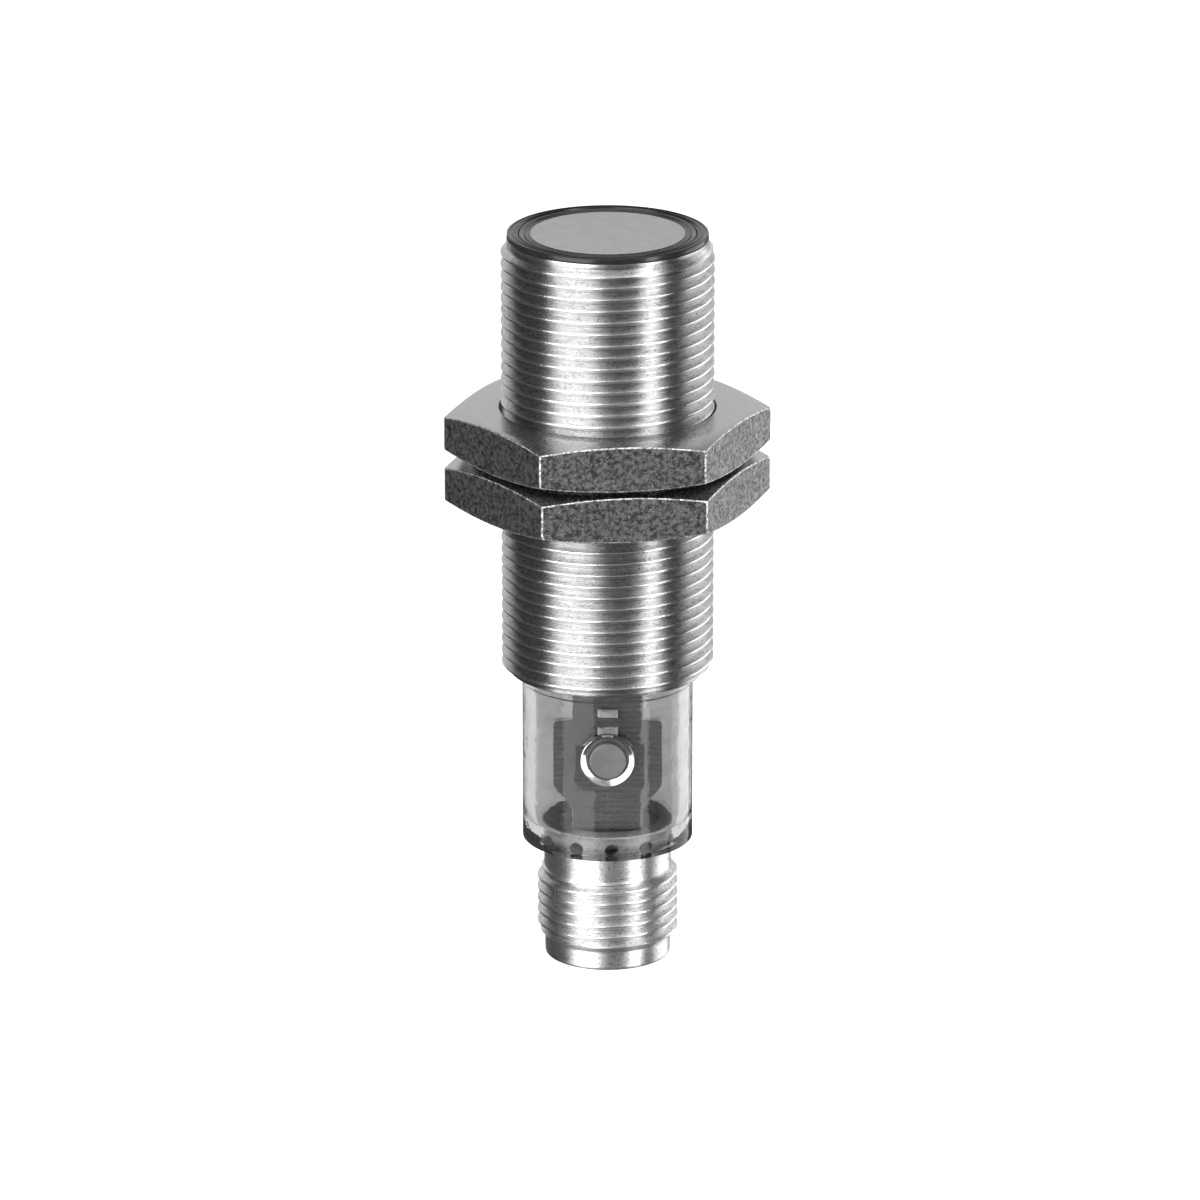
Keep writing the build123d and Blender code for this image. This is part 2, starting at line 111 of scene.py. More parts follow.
# half of a rolled thread's section: (share of the pitch from the crest, depth below the crest)
THREAD_SECTION = [
    (0.0, 0.0), (0.05, 0.008), (0.1, 0.045), (0.16, 0.135), (0.34, 0.446), (0.42, 0.575), (0.5, 0.613)
]
THREAD_DEPTH = 0.613


def box_mm(node):
    low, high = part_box(node)
    return np.array(low) / MM, np.array(high) / MM


# ------------------------------------------------------------------ meshes
def make_piece(
    name, vertices, faces, materials, body, slot, replaces=(), sharp=38, wear_and_shading=None, face_materials=None
):
    """A mesh object from points in millimetres, welded, facing outwards, riding on a body."""
    mesh = bpy.data.meshes.new(name)
    mesh.from_pydata((np.asarray(vertices, float) * MM).tolist(), [], faces)
    # per-point crest mask for the materials: it drives rubbed crests and edges, painted highlights on them
    # and painted shade in the thread's bottoms
    if wear_and_shading is not None:
        mesh.attributes.new("wear_and_shading", "FLOAT", "POINT").data.foreach_set("value", np.asarray(wear_and_shading, np.float32))
    if face_materials is not None:
        mesh.polygons.foreach_set("material_index", face_materials)
    bm = bmesh.new()
    bm.from_mesh(mesh)
    bmesh.ops.remove_doubles(bm, verts=bm.verts, dist=1e-7)
    bmesh.ops.dissolve_degenerate(bm, edges=bm.edges, dist=1e-8)
    bmesh.ops.recalc_face_normals(bm, faces=bm.faces)
    bm.to_mesh(mesh)
    bm.free()
    finish_mesh(mesh, sharp)
    piece = bpy.data.objects.new(name, mesh)
    bpy.context.scene.collection.objects.link(piece)
    for material in materials:
        mesh.materials.append(material)
    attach(piece, body)
    if replaces:
        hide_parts(*replaces)
    return piece


def finish_mesh(mesh, sharp):
    mesh.polygons.foreach_set("use_smooth", [True] * len(mesh.polygons))
    mesh.set_sharp_from_angle(angle=radians(sharp))


def grid_faces(columns, rows, close_rows):
    """Quads between neighbouring columns. close_rows joins each column's last point to its first."""
    faces = []
    last = rows if close_rows else rows - 1
    for i in range(columns - 1):
        for j in range(last):
            k = (j + 1) % rows
            faces.append((i * rows + j, (i + 1) * rows + j, (i + 1) * rows + k, i * rows + k))
    return faces


def lathe(outline, segments=128):
    """Closed surface of revolution about Z of (radius, height) points. Its ends may touch the axis."""
    angles = np.linspace(0, 2 * pi, segments + 1)
    r = np.array([p[0] for p in outline])
    z = np.array([p[1] for p in outline])
    grid = np.stack(
        [np.outer(np.cos(angles), r), np.outer(np.sin(angles), r), np.tile(z, (segments + 1, 1))], -1
    )
    return grid.reshape(-1, 3), grid_faces(segments + 1, len(outline), True)


def rounded(points, radius, steps=4, closed=True):
    """The same outline with its corners rounded. A point may carry its own radius as a third number."""
    out = []
    count = len(points)
    for i, point in enumerate(points):
        here = Vector(point[:2])
        r = point[2] if len(point) > 2 else radius
        if (not closed and i in (0, count - 1)) or r == 0:
            out.append(tuple(here))
            continue
        before = Vector(points[i - 1][:2]) - here
        after = Vector(points[(i + 1) % count][:2]) - here
        half = before.angle(after) / 2
        reach = min(r / tan(half), before.length * 0.45, after.length * 0.45)
        start = here + before.normalized() * reach
        end = here + after.normalized() * reach
        for step in range(steps + 1):
            t = step / steps
            out.append(tuple((1 - t) ** 2 * start + 2 * t * (1 - t) * here + t * t * end))
    return out


def thread_rows(angle, start, low_z, high_z, major_r, limit, internal=False):
    """Points (radius, height, crest mask) up one side of a thread at one angle. The mask is 1 at the crest
    and 0 at the bottom, and drives rubbed crests, painted highlight on them and painted shade in the
    bottoms.

    limit gives the chamfers' radius at a height.
    """
    rows = []
    shares = [-s for s, _ in THREAD_SECTION[:0:-1]][1:] + [s for s, _ in THREAD_SECTION]
    depths = [s[0] for s in THREAD_SECTION], [s[1] for s in THREAD_SECTION]
    turns = int(round(high_z - low_z)) + 4
    lead = start + angle / (2 * pi) * PITCH
    base = int(np.floor(low_z - start)) - 2
    for turn in range(turns):
        for share in shares:
            z = min(max(lead + (base + turn + share) * PITCH, low_z), high_z)
            offset = (z - lead) / PITCH
            depth = float(np.interp(abs(offset - round(offset)), *depths))
            if internal:
                depth = min(depth, THREAD_DEPTH - 0.08)
                r = max(major_r - depth, limit(z))
            else:
                r = min(major_r - depth, limit(z))
            rows.append((r, z, 1 - depth / THREAD_DEPTH))
    return rows


def columns_mesh(angles, columns):
    """Points, faces and crest-mask values of columns of (radius, height, crest mask), each a closed loop at
    its angle. The mask drives rubbed crests, painted highlight and painted shade.
    """
    table = np.array(columns)
    a = np.array(angles)[:, None]
    points = np.stack([table[:, :, 0] * np.cos(a), table[:, :, 0] * np.sin(a), table[:, :, 1]], -1)
    faces = grid_faces(len(angles), table.shape[1], True)
    return points.reshape(-1, 3), faces, table[:, :, 2].ravel()


def along_y(points, x, z):
    """Turns a lathe's points from the Z axis to the Y axis: the outline's height becomes y."""
    p = np.asarray(points, float)
    return np.stack([p[:, 0] + x, p[:, 2], p[:, 1] + z], -1)


def bevelled_box(low, high, bevel, segments=2):
    """Points and faces of a box with rounded edges."""
    bm = bmesh.new()
    bmesh.ops.create_cube(bm, size=1)
    size, centre = np.subtract(high, low), np.add(high, low) / 2
    for v in bm.verts:
        v.co = Vector(np.array(v.co) * size + centre)
    bmesh.ops.bevel(bm, geom=bm.edges[:], offset=bevel, segments=segments, profile=0.5, affect="EDGES")
    bm.verts.index_update()
    points = [tuple(v.co) for v in bm.verts]
    faces = [tuple(v.index for v in f.verts) for f in bm.faces]
    bm.free()
    return points, faces


def joined(*shapes):
    """One list of points and one of faces from several shapes."""
    points, faces = [], []
    for p, f in shapes:
        offset = len(points)
        points += [tuple(q) for q in p]
        faces += [tuple(i + offset for i in face) for face in f]
    return points, faces


def cut_with(piece, cutter_points, cutter_faces, sharp):
    """Takes a closed cutter mesh out of a piece, exactly, and keeps the result as the piece's own mesh."""
    mesh = bpy.data.meshes.new("cutter")
    mesh.from_pydata((np.asarray(cutter_points, float) * MM).tolist(), [], cutter_faces)
    bm = bmesh.new()
    bm.from_mesh(mesh)
    bmesh.ops.remove_doubles(bm, verts=bm.verts, dist=1e-7)
    bmesh.ops.recalc_face_normals(bm, faces=bm.faces)
    bm.to_mesh(mesh)
    bm.free()
    cutter = bpy.data.objects.new("cutter", mesh)
    bpy.context.scene.collection.objects.link(cutter)
    modifier = piece.modifiers.new("cut", "BOOLEAN")
    modifier.operation = "DIFFERENCE"
    modifier.solver = "EXACT"
    modifier.object = cutter
    evaluated = piece.evaluated_get(bpy.context.evaluated_depsgraph_get())
    result = bpy.data.meshes.new_from_object(evaluated)
    piece.modifiers.remove(modifier)
    old = piece.data
    piece.data = result
    result.name = piece.name
    bpy.data.meshes.remove(old)
    bpy.data.objects.remove(cutter)
    bpy.data.meshes.remove(mesh)
    finish_mesh(result, sharp)


# ------------------------------------------------------------------ materials
class Finish:
    """A Principled material and the nodes that feed it. Its coordinates are millimetres on the object."""

    def __init__(self, name, **sockets):
        self.material = bpy.data.materials.new(name)
        self.material.use_nodes = True
        self.tree = self.material.node_tree
        self.shader = self.tree.nodes["Principled BSDF"]
        place = self.add("TexCoord").outputs["Object"]
        self.place = self.add("VectorMath", {0: place, "Scale": 1 / MM}, operation="SCALE").outputs[0]
        for socket, value in sockets.items():
            self.put(socket.replace("_", " "), value)

    def add(self, kind, inputs=None, **properties):
        node = self.tree.nodes.new("ShaderNode" + kind)
        for key, value in properties.items():
            setattr(node, key, value)
        for key, value in (inputs or {}).items():
            self.feed(node.inputs[key], value)
        return node

    def feed(self, socket, value):
        if isinstance(value, bpy.types.NodeSocket):
            self.tree.links.new(value, socket)
        else:
            socket.default_value = value

    def put(self, socket, value):
        if isinstance(value, tuple) and len(value) == 3:
            value = (*value, 1)
        self.feed(self.shader.inputs[socket], value)

    def stretched(self, x, y, z):
        return self.add("VectorMath", {0: self.place, 1: (x, y, z)}, operation="MULTIPLY").outputs[0]

    def noise(self, scale, detail=3.0, place=None, roughness=0.55, distortion=0.0):
        inputs = {"Vector": place or self.place, "Scale": scale, "Detail": detail}
        inputs.update({"Roughness": roughness, "Distortion": distortion})
        return self.add("TexNoise", inputs).outputs["Fac"]

    def cells(self, scale, feature="F1", place=None):
        return self.add("TexVoronoi", {"Vector": place or self.place, "Scale": scale}, feature=feature)

    def remap(self, value, low, high, to_low=0.0, to_high=1.0):
        inputs = {"Value": value, "From Min": low, "From Max": high, "To Min": to_low, "To Max": to_high}
        return self.add("MapRange", inputs, interpolation_type="SMOOTHSTEP").outputs["Result"]

    def math(self, operation, a, b=0.0):
        return self.add("Math", {0: a, 1: b}, operation=operation).outputs[0]

    def mix(self, factor, a, b):
        """Colours a to b."""
        node = self.add("Mix", data_type="RGBA")
        for index, value in ((0, factor), (6, a), (7, b)):
            self.feed(node.inputs[index], (*value, 1) if isinstance(value, tuple) else value)
        return node.outputs[2]

    def bump(self, height, microns, normal=None):
        inputs = {"Height": height, "Distance": microns * 1e-6, "Strength": 1.0}
        if normal is not None:
            inputs["Normal"] = normal
        return self.add("Bump", inputs).outputs["Normal"]

    def attribute(self, name):
        return self.add("Attribute", attribute_name=name).outputs["Fac"]


def grey(level, warm=0.0):
    return (level * (1 + warm), level, level * (1 - warm))


def scaled(colour, factor):
    return tuple(c * factor for c in colour)


def turned_steel(name, tone=0.62, roughness=0.33, anisotropy=1.0, lines=2.2):
    """Rolled and turned stainless steel: fine lines round the axis, crests rubbed smoother and painted
    brighter as a highlight, painted shade in the thread's bottoms, pits and specks.
    """
    f = Finish(name, Metallic=1.0)
    wear_and_shading = f.attribute("wear_and_shading")
    streaks = f.noise(1.0, 5.0, f.stretched(0.5, 0.5, 22.0), 0.75)
    scratches = f.remap(f.noise(1.0, 2.0, f.stretched(0.35, 0.35, 14.0), 0.6), 0.58, 0.68)
    patches = f.noise(0.9, 4.0, f.stretched(0.8, 0.8, 1.6), 0.6)
    specks = f.remap(f.noise(4.4, 3.0, f.stretched(1.0, 1.0, 1.9), 0.65), 0.56, 0.64)
    sparks = f.remap(f.noise(5.5, 2.0, f.stretched(1.0, 1.0, 2.0), 0.6), 0.62, 0.70)
    # crests: smoother from rubbing (roughness), and painted brighter as a highlight (colour)
    crest_wear_and_highlight = f.remap(wear_and_shading, 0.9, 1.0)
    # painted shade: the deepest part of the thread profile is darkened
    painted_root_shade = f.remap(wear_and_shading, 0.22, 0.0)
    colour = f.mix(f.remap(patches, 0.3, 0.7), scaled(grey(tone, 0.004), 0.84), grey(tone, 0.004))
    # painted shade in the bottoms of the thread
    colour = f.mix(f.math("MULTIPLY", painted_root_shade, 0.45), colour, grey(tone * 0.35))
    colour = f.mix(f.math("MULTIPLY", scratches, 0.6), colour, grey(tone * 0.35))
    colour = f.mix(f.math("MULTIPLY", specks, 0.8), colour, grey(tone * 0.22))
    colour = f.mix(f.math("MULTIPLY", sparks, 0.8), colour, grey(min(tone * 1.5, 0.97)))
    # painted highlight: crests made lighter in colour
    colour = f.mix(f.math("MULTIPLY", crest_wear_and_highlight, 0.7), colour, grey(min(tone * 1.4, 0.93)))
    f.put("Base Color", colour)
    rough = f.remap(streaks, 0.25, 0.75, roughness * 0.78, roughness * 1.2)
    f.put("Roughness", f.math("SUBTRACT", rough, f.math("MULTIPLY", crest_wear_and_highlight, roughness * 0.25)))
    f.shader.inputs["Anisotropic"].default_value = anisotropy
    f.shader.inputs["Anisotropic Rotation"].default_value = 0.25
    f.put("Tangent", f.add("Tangent", direction_type="RADIAL", axis="Z").outputs[0])
    pits = f.noise(9.0, 2.0)
    f.put("Normal", f.bump(pits, 16.0, f.bump(streaks, lines * 1.6)))
    return f.material


def plated_nut():
    """Nickel on a coarse drawn bar: mottled, sparkling sides, smoother faced ends, and edges painted bright:
    partly rubbed plating, partly painted highlight.
    """
    f = Finish("nut_nickel", Metallic=1.0)
    wear_and_shading = f.attribute("wear_and_shading")
    normal = f.add("NewGeometry").outputs["Normal"]
    upright = f.add("SeparateXYZ", {0: normal}).outputs["Z"]
    faced = f.remap(f.math("ABSOLUTE", upright), 0.75, 0.9)
    mottle = f.noise(2.6, 6.0, roughness=0.72)
    fine = f.noise(8.0, 3.0, roughness=0.7)
    sparkle = f.remap(f.noise(10.0, 1.0, f.stretched(1.0, 1.0, 1.2)), 0.68, 0.76)
    side = f.mix(f.remap(mottle, 0.40, 0.60), grey(0.06), grey(0.24))
    side = f.mix(f.math("MULTIPLY", f.remap(fine, 0.56, 0.7), 0.6), side, grey(0.07))
    side = f.mix(f.math("MULTIPLY", sparkle, 1.0), side, grey(0.95))
    end = f.mix(f.remap(mottle, 0.3, 0.7), grey(0.44), grey(0.52))
    colour = f.mix(faced, side, end)
    dots = f.remap(f.noise(4.2, 3.0, roughness=0.8), 0.46, 0.58)
    # edges painted near-white: partly rubbed plating, partly painted highlight along the corners and chamfer
    # edges
    edge = f.math("MULTIPLY", f.remap(wear_and_shading, 0.55, 0.95), f.remap(dots, 0.0, 1.0, 0.12, 1.0))
    colour = f.mix(edge, colour, grey(0.97))
    f.put("Base Color", colour)
    rough_side = f.remap(fine, 0.3, 0.7, 0.34, 0.58)
    rough_end = f.remap(mottle, 0.3, 0.7, 0.20, 0.30)
    rough = f.add("Mix", data_type="FLOAT")
    f.feed(rough.inputs[0], faced)
    f.feed(rough.inputs[2], rough_side)
    f.feed(rough.inputs[3], rough_end)
    f.put("Roughness", rough.outputs[0])
    relief = f.math(
        "MULTIPLY", f.math("ADD", mottle, f.math("MULTIPLY", fine, 0.8)), f.remap(faced, 0, 1, 1.0, 0.05)
    )
    f.put("Normal", f.bump(relief, 26.0))
    return f.material


def moulded(name, colour, roughness=0.4, grain=6.0, relief=6.0, tint=0.12, **sockets):
    """Moulded plastic, rubber, ceramic or resin: slight colour drift, grain, handling marks."""
    f = Finish(name, **sockets)
    drift = f.noise(0.55, 4.0)
    fine = f.noise(grain, 4.0, roughness=0.65)
    marks = f.remap(f.noise(1.3, 5.0, f.stretched(1.0, 2.6, 0.5), 0.7), 0.55, 0.75)
    shade = f.mix(f.remap(drift, 0.3, 0.7), scaled(colour, 1 - tint), scaled(colour, 1 + tint))
    shade = f.mix(f.math("MULTIPLY", f.remap(fine, 0.55, 0.75), 0.35), shade, scaled(colour, 0.6))
    f.put("Base Color", shade)
    f.put(
        "Roughness",
        f.remap(
            f.math("ADD", fine, f.math("MULTIPLY", marks, 0.5)), 0.3, 1.0, roughness * 0.8,
            min(roughness * 1.3, 1.0)
        )
    )
    f.put("Normal", f.bump(fine, relief))
    return f.material


def metal(name, colour, roughness=0.3, grain=5.0, relief=4.0):
    """Small plated or stamped metal parts."""
    f = Finish(name, Metallic=1.0)
    fine = f.noise(grain, 4.0, roughness=0.7)
    tarnish = f.noise(1.4, 4.0)
    shade = f.mix(f.remap(tarnish, 0.35, 0.7), colour, scaled(colour, 0.72))
    f.put("Base Color", shade)
    f.put("Roughness", f.remap(fine, 0.3, 0.7, roughness * 0.7, roughness * 1.3))
    f.put("Normal", f.bump(fine, relief))
    return f.material


def smoked_plastic():
    """Clear smoked polycarbonate: flow lines from the mould, and a slightly uneven polish."""
    f = Finish("housing_smoked_clear", IOR=1.27)
    f.shader.inputs["Transmission Weight"].default_value = 1.0
    flow = f.noise(1.0, 3.0, f.stretched(0.5, 0.5, 1.1))
    fine = f.noise(5.0, 3.0)
    f.put("Base Color", f.mix(f.remap(flow, 0.3, 0.7), grey(0.42), grey(0.50)))
    f.put("Roughness", f.remap(fine, 0.3, 0.8, 0.03, 0.11))
    f.put("Normal", f.bump(flow, 60.0, f.bump(fine, 1.5)))
    return f.material


def solder_mask():
    """Dark solder mask over copper, whose level tracks stand slightly proud and catch the light."""
    f = Finish("board_mask", Specular_IOR_Level=0.5)
    f.shader.inputs["Coat Weight"].default_value = 0.4
    f.shader.inputs["Coat Roughness"].default_value = 0.15
    brick = f.add(
        "TexBrick",
        {
            "Vector": f.add("Mapping", {"Vector": f.place, "Rotation": (radians(90), 0, 0)}).outputs[0],
            "Scale": 0.55, "Mortar Size": 0.03, "Mortar Smooth": 0.2, "Brick Width": 2.6,
            "Row Height": 0.26, "Color1": (0, 0, 0, 1), "Color2": (1, 1, 1, 1),
            "Mortar": (0.5, 0.5, 0.5, 1)
        },
        offset=0.37
    )
    tracks = f.remap(brick.outputs["Fac"], 0.2, 0.8)
    weave = f.noise(4.0, 3.0)
    base = f.mix(f.remap(weave, 0.35, 0.65), (0.075, 0.077, 0.075), (0.11, 0.112, 0.11))
    f.put("Base Color", f.mix(f.math("MULTIPLY", tracks, 0.7), base, (0.17, 0.173, 0.17)))
    f.put("Roughness", f.remap(weave, 0.3, 0.7, 0.32, 0.5))
    f.put("Normal", f.bump(tracks, 18.0, f.bump(weave, 4.0)))
    return f.material


def sensing_resin():
    """Pale grey syntactic foam: fine glass bubbles and a dull lapped surface."""
    f = Finish("face_foam_resin")
    bubbles = f.cells(6.5)
    pores = f.remap(bubbles.outputs["Distance"], 0.0, 0.35)
    cloud = f.noise(0.8, 5.0, roughness=0.65)
    fine = f.noise(11.0, 3.0, roughness=0.7)
    tone = f.mix(f.remap(cloud, 0.3, 0.7), grey(0.30), grey(0.335))
    tone = f.mix(f.math("MULTIPLY", f.remap(fine, 0.55, 0.75), 0.4), tone, grey(0.26))
    f.put("Base Color", f.mix(pores, grey(0.29), tone))
    f.put("Roughness", f.remap(fine, 0.3, 0.7, 0.5, 0.72))
    f.put("Normal", f.bump(pores, 5.0, f.bump(fine, 5.0)))
    return f.material


def copper_winding():
    f = Finish("coil_copper", Metallic=1.0)
    turns = f.add(
        "TexWave", {"Vector": f.place, "Scale": 1.6, "Distortion": 0.4, "Detail": 2.0},
        bands_direction="Y"
    )
    # dark-to-bright bands across the turns: painted shade between the turns and painted highlight on them,
    # following the bump
    f.put("Base Color", f.mix(turns.outputs["Fac"], (0.30, 0.11, 0.05), (0.75, 0.33, 0.17)))
    f.put("Roughness", f.remap(f.noise(5.0), 0.3, 0.7, 0.25, 0.45))
    f.put("Normal", f.bump(turns.outputs["Fac"], 60.0))
    return f.material


STEEL = turned_steel("barrel_turned_steel")
SHELL_STEEL = turned_steel("plug_nickel_brass", tone=0.78, roughness=0.40, anisotropy=0.8, lines=1.4)
NUT = plated_nut()
BLACK = moulded("black_glossy_ring", grey(0.012), roughness=0.22, relief=1.5, Specular_IOR_Level=0.35)
CUP = moulded("cup_dark_resin", grey(0.025), roughness=0.22, relief=2.0)
SOFT = moulded("ring_soft_silicone", grey(0.02), roughness=0.3, relief=4.0)
FACE = sensing_resin()
SMOKED = smoked_plastic()
MASK = solder_mask()
LAMINATE = moulded("board_laminate_edge", (0.62, 0.62, 0.58), roughness=0.6, grain=12.0, relief=10.0)
BUTTON = moulded("button_dark_plastic", grey(0.09), roughness=0.45, relief=5.0)
RING_METAL = metal("ring_polished_steel", grey(0.72), roughness=0.17, grain=2.4, relief=12.0)
SWITCH_COVER = metal("switch_steel_cover", grey(0.75), roughness=0.22)
SWITCH_BASE = moulded("switch_base_plastic", grey(0.03), roughness=0.5)
RUBBER = moulded("seal_black_rubber", grey(0.02), roughness=0.6, relief=8.0)
CARRIER = moulded("insert_grey_plastic", grey(0.16), roughness=0.42, relief=8.0)
GOLD = metal("contact_gold_plate", (0.95, 0.70, 0.32), roughness=0.2)
LENS = moulded("led_clear_lens", grey(0.85), roughness=0.12, relief=2.0, Transmission_Weight=0.5)
LED_BASE = moulded("led_white_base", grey(0.75), roughness=0.45)
CHIP = moulded("chip_epoxy", grey(0.025), roughness=0.5, grain=9.0, relief=9.0)
CAPACITOR = metal("capacitor_aluminium", grey(0.72), roughness=0.3)
CHIP_CERAMIC = moulded("passive_ceramic", (0.42, 0.33, 0.24), roughness=0.4)
FERRITE = moulded("core_ferrite", grey(0.045), roughness=0.45, grain=8.0, relief=14.0)
COPPER = copper_winding()
PIEZO = moulded("piezo_silver_ceramic", (0.66, 0.64, 0.58), roughness=0.45, grain=9.0, relief=7.0)
BACKING = moulded("backing_cast_resin", (0.20, 0.15, 0.11), roughness=0.6, grain=4.0, relief=25.0)
WIRE_COLOURS = {
    "brown": (0.10, 0.035, 0.014), "white": (0.70, 0.70, 0.67), "black": (0.012, 0.012, 0.013),
    "blue": (0.02, 0.07, 0.30), "red": (0.38, 0.015, 0.012)
}
INSULATION = {
    name: moulded("insulation_" + name, colour, roughness=0.38, relief=5.0) for name,
    colour in WIRE_COLOURS.items()
}


# ------------------------------------------------------------------ barrel
def make_barrel():
    low, high = box_mm("barrel")
    crest_r, z0, z1 = high[0], low[2], high[2]
    angles = np.linspace(0, 2 * pi, 181)
    foot_r, head_r, run_out = crest_r - 0.62, crest_r - 0.5, z1 - 0.5

    def limit(z):
        return min(foot_r + (z - z0), crest_r, head_r + max(run_out - z, 0.0))

    columns = []
    for angle in angles:
        rows = thread_rows(angle, BARREL_THREAD_START, z0, z1, crest_r, limit)
        rows += [(head_r, z1, 0.6), (BARREL_BORE + 0.12, z1, 0.6), (BARREL_BORE, z1 - 0.12, 0.6)]
        rows += [(BARREL_BORE, z0 + 0.15, 0.6), (BARREL_BORE + 0.15, z0, 0.6), (foot_r - 0.05, z0, 0.6)]
        columns.append(rows)
    points, faces, wear_and_shading = columns_mesh(angles, columns)
    return make_piece(
        "threaded_barrel", points, faces, [STEEL], "sensor", "barrel_steel", ["barrel"], 50, wear_and_shading
    )


# ------------------------------------------------------------------ nuts
def nut_outline(flat_r, turn, corner=0.08, side_steps=22, corner_steps=4):
    """Points round a hexagon whose corners are slightly rounded, with how close each is to a corner."""
    half = flat_r * tan(radians(30))
    points = []
    for side in range(6):
        a = turn + side * pi / 3
        normal, along = np.array([cos(a), sin(a)]), np.array([-sin(a), cos(a)])
        spread = np.linspace(-1, 1, side_steps)
        places = list(spread * (half - 0.34))
        places = [-half + corner, -half + 0.25] + places + [half - 0.25, half - corner]
        for place in places:
            points.append((*(normal * flat_r + along * place), 1.0 if half - abs(place) < 0.2 else 0.0))
        centre_r = corner / tan(radians(30))
        centre = normal * (flat_r - centre_r) + along * (half - corner)
        for step in range(1, corner_steps):
            b = a + pi / 3 * step / corner_steps
            points.append((*(centre + centre_r * np.array([cos(b), sin(b)])), 1.0))
    return points


def make_nut(name, hex_node, core_node, turn):
    low, high = box_mm(hex_node)
    z0, z1 = low[2], high[2]
    outline = nut_outline(NUT_FLAT_R, turn)
    angles = np.unwrap([atan2(y, x) for x, y, _ in outline])
    order = list(range(len(outline))) + [0]
    angles = [angles[i] for i in order[:-1]] + [angles[0] + 2 * pi]
    major_r = box_mm("barrel")[1][0] + NUT_BORE_GAP
    edge = 0.06

    def limit(z):
        return NUT_SINK_FLOOR_R - min(z - z0, z1 - z)

    columns = []
    for index, angle in zip(order, angles):
        x, y, near = outline[index]
        out_r = sqrt(x * x + y * y)
        drop = (out_r - NUT_CHAMFER_R) * NUT_CHAMFER_SLOPE
        rows = thread_rows(angle, BARREL_THREAD_START, z0, z1, major_r, limit, internal=True)
        rows = [(r, z, 0.3) for r, z, _ in rows]
        # the third number marks the corners and chamfer edges that the nut's material paints bright: partly
        # rubbed plating, partly painted highlight
        upper = [(NUT_SINK_R + 0.1, 0, 0.4), (NUT_CHAMFER_R - 0.12, 0, 0.0), (NUT_CHAMFER_R, 0.008, 0.45)]
        upper += [
            (out_r - 0.16, drop - 0.16 * NUT_CHAMFER_SLOPE, 0.0),
            (out_r - edge, drop - edge * NUT_CHAMFER_SLOPE, 1.0)
        ]
        upper += [(out_r - 0.02, drop + 0.03, 1.0), (out_r, drop + edge, 1.0), (out_r, drop + 0.2, near)]
        rows += [(r, z1 - d, w) for r, d, w in upper]
        rows += [(out_r, (z0 + z1) / 2 + 0.6, near), (out_r, (z0 + z1) / 2 - 0.6, near)]
        rows += [(r, z0 + d, w) for r, d, w in reversed(upper)]
        columns.append(rows)
    points, faces, wear_and_shading = columns_mesh(angles, columns)
    return make_piece(name, points, faces, [NUT], hex_node, "nut_metal", [hex_node, core_node], 28, wear_and_shading)


# ------------------------------------------------------------------ plug
def make_shell():
    z0, z1 = THREAD_LOW_Z, box_mm("connector_shell")[1][2]
    collar_z = box_mm("end_housing")[0][2]

    def limit(z):
        if z > PLUG_RUN_OUT_Z:
            return RELIEF_R
        return min(RIM_R + max(z - PLUG_LEAD_IN_Z, 0.0), PLUG_R, RELIEF_R + (PLUG_RUN_OUT_Z - z))

    columns = []
    angles = np.linspace(0, 2 * pi, 145)
    for angle in angles:
        rows = []
        for r, z, w in thread_rows(angle, PLUG_THREAD_START, z0, collar_z - 0.06, PLUG_R, limit):
            plain = z > PLUG_RUN_OUT_Z or z < PLUG_LEAD_IN_Z
            rows.append((RELIEF_R if z > PLUG_RUN_OUT_Z else r, z, 0.6 if plain else w))
        rest = [
            (RELIEF_R, collar_z), (COLLAR_R - 0.05, collar_z), (COLLAR_R, collar_z + 0.05),
            (COLLAR_R, z1 - 0.08)
        ]
        rest += [(COLLAR_R - 0.08, z1), (SHELL_BORE + 0.08, z1), (SHELL_BORE, z1 - 0.08), (SHELL_BORE, 0.3)]
        rest += [
            (SHELL_BORE + 0.07, 0.1), (SHELL_BORE + 0.25, 0.0), (RIM_R - 0.25, 0.0), (RIM_R - 0.07, 0.07)
        ]
        columns.append(rows + [(r, z, 0.6) for r, z in rest])
    points, faces, wear_and_shading = columns_mesh(angles, columns)
    shell = make_piece(
        "plug_shell", points, faces, [SHELL_STEEL], "sensor", "shell_metal", ["connector_shell"], 50, wear_and_shading
    )
    drills = []
    for number in range(COLLAR_HOLES):
        a = COLLAR_HOLE_TURN + number * 2 * pi / COLLAR_HOLES
        p, f = lathe([(0, -7.0), (COLLAR_HOLE_R, -7.0), (COLLAR_HOLE_R, -3.6), (0, -3.6)], 40)
        p = along_y(p, 0, COLLAR_HOLE_Z)
        turned = np.stack(
            [p[:, 0] * cos(a) - p[:, 1] * sin(a), p[:, 0] * sin(a) + p[:, 1] * cos(a), p[:, 2]], -1
        )
        drills.append((turned, f))
    cut_with(shell, *joined(*drills), 50)
    return shell


def make_pins():
    """Four round-nosed pins. The insert that holds them is carried over."""
    for number in range(1, 5):
        low, high = box_mm(f"contact_pin_{number}")
        x, y = (low[:2] + high[:2]) / 2
        r, z0, z1 = (high[0] - low[0]) / 2, low[2], high[2]
        outline = rounded(
            [
                (0, z0, 0), (r, z0, 0.38), (r, z1 - 0.7, 0.04), (0.3, z1 - 0.62, 0.04), (0.3, z1, 0.03),
                (0, z1, 0)
            ],
            0.1, 6
        )
        points, faces = lathe(outline, 40)
        points = np.asarray(points) + [x, y, 0]
        make_piece(
            f"pin_{number}", points, faces, [GOLD], "sensor", "contact_gold", [f"contact_pin_{number}"],
            50
        )


